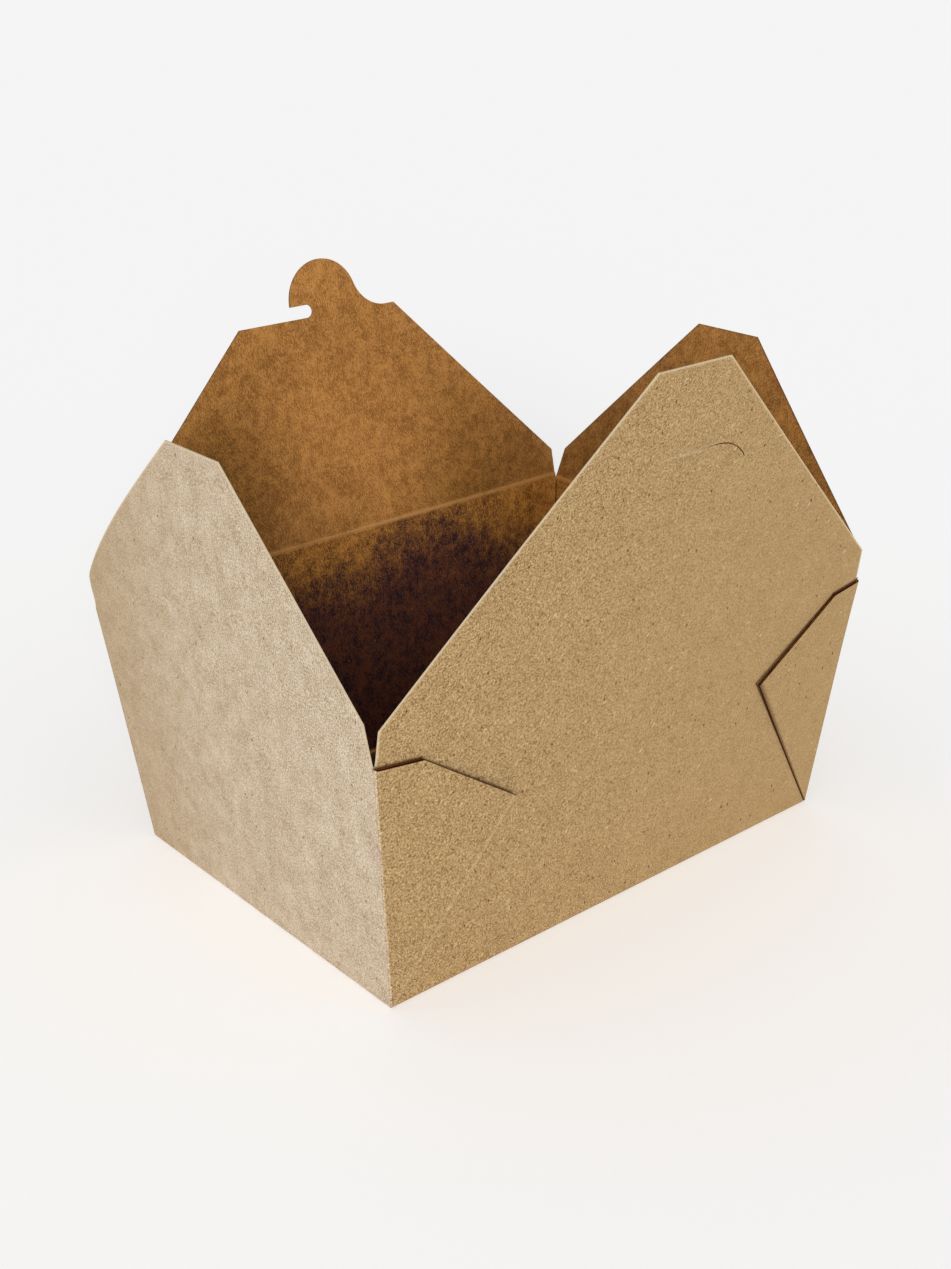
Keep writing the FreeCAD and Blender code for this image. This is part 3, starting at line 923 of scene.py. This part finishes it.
slit_flap = {"shoulder": 11.3 * mm, "inset": 0.3 * mm, "height": 100.5 * mm, "top_width": 30.6 * mm}
slit_height = 71.5 * mm
slit_left = -9.4 * mm
slit_straight = 17.0 * mm
slit_bend_radius = 16.9 * mm
slit_bend = math.radians(55)
slit_open = 0.4 * mm
slit_margin = 2.0 * mm
slit_worn_width = 0.3 * mm
front_hollow = 0.5 * mm
lip_height = 0.15 * mm
lip_across = 25 * mm
lip_up = 64 * mm
lip_half_width = 9 * mm
lip_half_height = 6 * mm
slit_end = slit_straight + slit_bend_radius * math.sin(slit_bend)
slit_drop = slit_bend_radius * (1 - math.cos(slit_bend))


def beside_slit(at):
    """Whether flat points lie in a box about the slit, slit_margin larger than it."""
    level = np.abs(at[:, 1] - slit_height + slit_drop / 2) < slit_drop / 2 + slit_margin
    return level & (np.abs(at[:, 0]) < slit_end + slit_margin)


def slit_flap_bands():
    """The flat slit flap: grids that meet along the slit's curve, and part where it is cut.

    The curve is v = height up to the straight end, and v = height - R + sqrt(R^2 - (u - end)^2)
    over the bend. From a share of 0.35 along the slit to a share of 0.75 its two lips part, as
    t^1.5, up to slit_open, and they close again at the very end.
    """
    root = half_root("front")
    bend = slit_straight + slit_bend_radius * np.sin(np.linspace(0, slit_bend, 17))
    half_low = root - slit_flap["inset"]
    slant = (half_low - slit_flap["top_width"] / 2) / (slit_flap["height"] - slit_flap["shoulder"])

    def half_at(v):
        return half_low - (v - slit_flap["shoulder"]) * slant

    drop = slit_bend_radius - np.sqrt(slit_bend_radius ** 2 - (bend - slit_straight) ** 2)
    left = half_at(slit_height)
    right = half_at(slit_height - slit_drop)
    near = fine_steps * left / root
    runs = [near - left, np.linspace(near[-1] - left, slit_left, 13)[1:-1],
            np.linspace(slit_left, slit_straight, 21)[:-1], bend,
            np.linspace(slit_end, right - near[-1], 13)[1:-1], right - near[::-1]]
    u = np.concatenate(runs)
    first = sum(len(run) for run in runs[:3])
    last = first + len(bend)
    v = np.full(len(u), slit_height)
    v[first:last] -= drop
    v[last:] -= slit_drop
    share = np.clip((u - slit_left) / (slit_end - slit_left), 0, 1)
    closing = np.minimum((1 - share) * 60, 1)
    parted = slit_open / 2 * np.clip((share - 0.35) / 0.4, 0, 1) ** 1.5 * closing
    normal_angle = np.zeros(len(u))
    normal_angle[first:last] = np.linspace(0, slit_bend, len(bend))
    offset = np.stack([np.sin(normal_angle), np.cos(normal_angle)], 1) * parted[:, None]
    middle = np.stack([u, v], 1)
    steps = (u + left) / (right + left)

    def level(half, height):
        return level_row(-half + 2 * half * steps, height)

    def near_slit(height):
        half = half_at(height)
        across = np.interp(u, [-left, slit_left, slit_end, right], [-half, slit_left, slit_end, half])
        return level_row(across, height)

    bottom, shoulder = level(root, 0.0), level(half_low, slit_flap["shoulder"])
    below = near_slit(slit_height - slit_drop - slit_margin)
    above = near_slit(slit_height + slit_margin)
    top = level(slit_flap["top_width"] / 2, slit_flap["height"])
    return [band(bottom, shoulder, crease_rows(slit_flap["shoulder"]) / slit_flap["shoulder"]),
            band(shoulder, below, np.linspace(0, 1, 30)),
            band(below, middle - offset, np.linspace(0, 1, 8)),
            band(middle + offset, above, np.linspace(0, 1, 4)),
            band(above, top, rows_to_top(12, slit_flap["height"] - slit_height - slit_margin))]


def front_warp(u, v):
    """The front flap is a little hollow, and its lip below the slit's bend stands proud as a bell."""
    lip = np.exp(-((u - lip_across) / lip_half_width) ** 2 - ((v - lip_up) / lip_half_height) ** 2)
    return lip_height * lip - front_hollow * np.sin(v / slit_flap["height"] * math.pi)


def slit_line(u, v):
    """A faint pale line along the straight part of the slit, which fades out at both ends."""
    share = np.clip((u - slit_left) / (slit_straight - slit_left), 0, 1)
    fade = np.sin(math.pi * share ** 1.5) ** 0.7
    return 0.17 * np.exp(-((v - slit_height) / slit_worn_width) ** 2) * fade


flap_piece("front", slit_flap_bands(), front_warp,
           [outer_kraft, inner_flap, cut_edge, shaded_cut_edge], 0.6, beside_slit, slit_line)


# Hook flap. The back flap closes last. Its top carries a round tab with a slot under one side,
# which makes the hook, and a hollow curve down to the flap's edge on the other side.

hook_flap = {"shoulder": 10.4 * mm, "inset": 0.3 * mm, "height": 82.0 * mm, "top_width": 69.6 * mm}
hook_hub = np.array([-3.0, 87.2]) * mm
hook_radius = 15.1 * mm
hollow_radius = 14.5 * mm
slot_height = 4.7 * mm
slot_depth = 9.5 * mm
back_bulge = 0.3 * mm
curl_room = 0.55 * mm
curl_room_from = 60 * mm
curl_room_run = 25 * mm
curl_room_rise = 8 * mm


def arc(centre, radius, start, stop, count):
    """Points on a circle from angle start to angle stop, in radians."""
    angle = np.linspace(start, stop, count)
    return centre + radius * np.stack([np.cos(angle), np.sin(angle)], 1)


def hook_flap_bands():
    """The flat hook flap as grids: below the shoulders, up to the top edge, the neck and the head.

    The neck runs between the hollow arc and the round end of the slot, and the head between the
    line from arc to slot and the tab's own circle.
    """
    top = hook_flap["height"]
    hollow_y = top + hollow_radius
    reach = math.sqrt((hook_radius + hollow_radius) ** 2 - (hollow_y - hook_hub[1]) ** 2)
    hollow = np.array([hook_hub[0] - reach, hollow_y])
    meet_angle = math.atan2(hollow_y - hook_hub[1], -reach)
    slot_top = top + slot_height
    tip_x = hook_hub[0] + math.sqrt(hook_radius ** 2 - (slot_top - hook_hub[1]) ** 2)
    tip_angle = math.atan2(slot_top - hook_hub[1], tip_x - hook_hub[0])
    slot_round = np.array([tip_x - slot_depth + slot_height / 2, top + slot_height / 2])
    half_top = hook_flap["top_width"] / 2
    neck = 26
    top_row = row([(-half_top, top), (hollow[0], top), (slot_round[0], top), (half_top, top)],
                  [4, neck, 22])
    steps = (top_row[:, 0] + half_top) / (2 * half_top)
    root = half_root("back")
    low = level_row(root * (2 * steps - 1), 0.0)
    shoulder = level_row((root - hook_flap["inset"]) * (2 * steps - 1), hook_flap["shoulder"])
    neck_left = arc(hollow, hollow_radius, -math.pi / 2, meet_angle - math.pi, 15)
    neck_right = arc(slot_round, slot_height / 2, -math.pi / 2, -3 * math.pi / 2, 15)
    across = np.linspace(0, 1, neck + 1)[None, :, None]
    neck_band = neck_left[:, None] + (neck_right - neck_left)[:, None] * across
    neck_top = neck_band[-1]
    head_low = np.concatenate([neck_top, row([tuple(neck_top[-1]), (tip_x, slot_top)], [8])[1:]])
    head_high = arc(hook_hub, hook_radius, meet_angle, tip_angle, len(head_low))
    return [band(low, shoulder, crease_rows(hook_flap["shoulder"]) / hook_flap["shoulder"]),
            band(shoulder, top_row, np.linspace(0, 1, 36)),
            neck_band, band(head_low, head_high, np.linspace(0, 1, 14))]


def back_warp(u, v):
    """The back flap bulges a little, and its left end stands off by curl_room.

    When the box is closed, the left flap's curl lies under that end.
    """
    left_end = soft_step((u - curl_room_from) / curl_room_run)
    room = curl_room * left_end * soft_step(v / curl_room_rise)
    return room + back_bulge * np.sin(np.clip(v / hook_flap["height"], 0, 1) * math.pi)


flap_piece("back", hook_flap_bands(), back_warp, [outer_kraft, inner_flap, cut_edge_brown])


# Studio. A pale floor, even light from all round, and one wide soft lamp high at the front left.

floor_half = 15.0
floor_level = -0.1 * mm
floor_mesh = bpy.data.meshes.new("studio_floor")
floor_corners = [(x * floor_half, y * floor_half, floor_level)
                 for x, y in ((-1, -1), (1, -1), (1, 1), (-1, 1))]
floor_mesh.from_pydata(floor_corners, [], [(0, 1, 2, 3)])
floor = new_object("studio_floor", floor_mesh)
floor_paint = bpy.data.materials.new("studio_floor")
floor_paint.use_nodes = True
floor_shader = floor_paint.node_tree.nodes["Principled BSDF"]
floor_look = {"Base Color": (0.92, 0.92, 0.92, 1.0), "Roughness": 1.0, "Specular IOR Level": 0.0,
              "Emission Color": (1.0, 1.0, 1.0, 1.0), "Emission Strength": 0.26}
for name, value in floor_look.items():
    floor_shader.inputs[name].default_value = value
floor_mesh.materials.append(floor_paint)

world = bpy.data.worlds.new("studio")
bpy.context.scene.world = world
world.use_nodes = True
sky = world.node_tree
background = sky.nodes["Background"]
background.inputs["Color"].default_value = (1.0, 1.0, 1.0, 1.0)
rays = add(sky, "ShaderNodeLightPath")
seen = maths(sky, "MAXIMUM", rays.outputs["Is Camera Ray"], rays.outputs["Is Glossy Ray"])
seen = maths(sky, "MAXIMUM", seen, rays.outputs["Is Transmission Ray"])
sky_light = 0.49
strength = maths(sky, "MULTIPLY_ADD", seen, 1.0 - sky_light, sky_light)
sky.links.new(strength, background.inputs["Strength"])


def lamp(name, strength, azimuth, elevation, spread):
    """A wide soft lamp far away, that many degrees round from the front and above the floor."""
    light = bpy.data.lights.new(name, "SUN")
    light.energy = strength
    light.angle = math.radians(spread)
    a, e = math.radians(azimuth), math.radians(elevation)
    towards = Vector((math.sin(a) * math.cos(e), -math.cos(a) * math.cos(e), math.sin(e)))
    new_object(name, light).rotation_euler = towards.to_track_quat("Z", "Y").to_euler()


lamp("key_lamp", 1.9, -38.0, 21.0, 28.0)

camera_place = Vector((-356.91, -416.30, 313.39)) * mm
camera_azimuth = math.radians(40.327)
camera_elevation = math.radians(23.555)
camera_roll = math.radians(-0.546)
level_view = Matrix.Rotation(-camera_azimuth, 4, "Z") @ Matrix.Rotation(math.pi / 2, 4, "X")
tilt = Matrix.Rotation(-camera_elevation, 4, "X") @ Matrix.Rotation(camera_roll, 4, "Z")
lens = bpy.data.cameras.new("camera")
lens.sensor_width = 36.0
lens.lens = 48.03
camera = new_object("camera", lens)
camera.matrix_world = Matrix.Translation(camera_place) @ level_view @ tilt
bpy.context.scene.camera = camera
bpy.context.scene.view_settings.view_transform = "Standard"

bpy.context.view_layer.update()
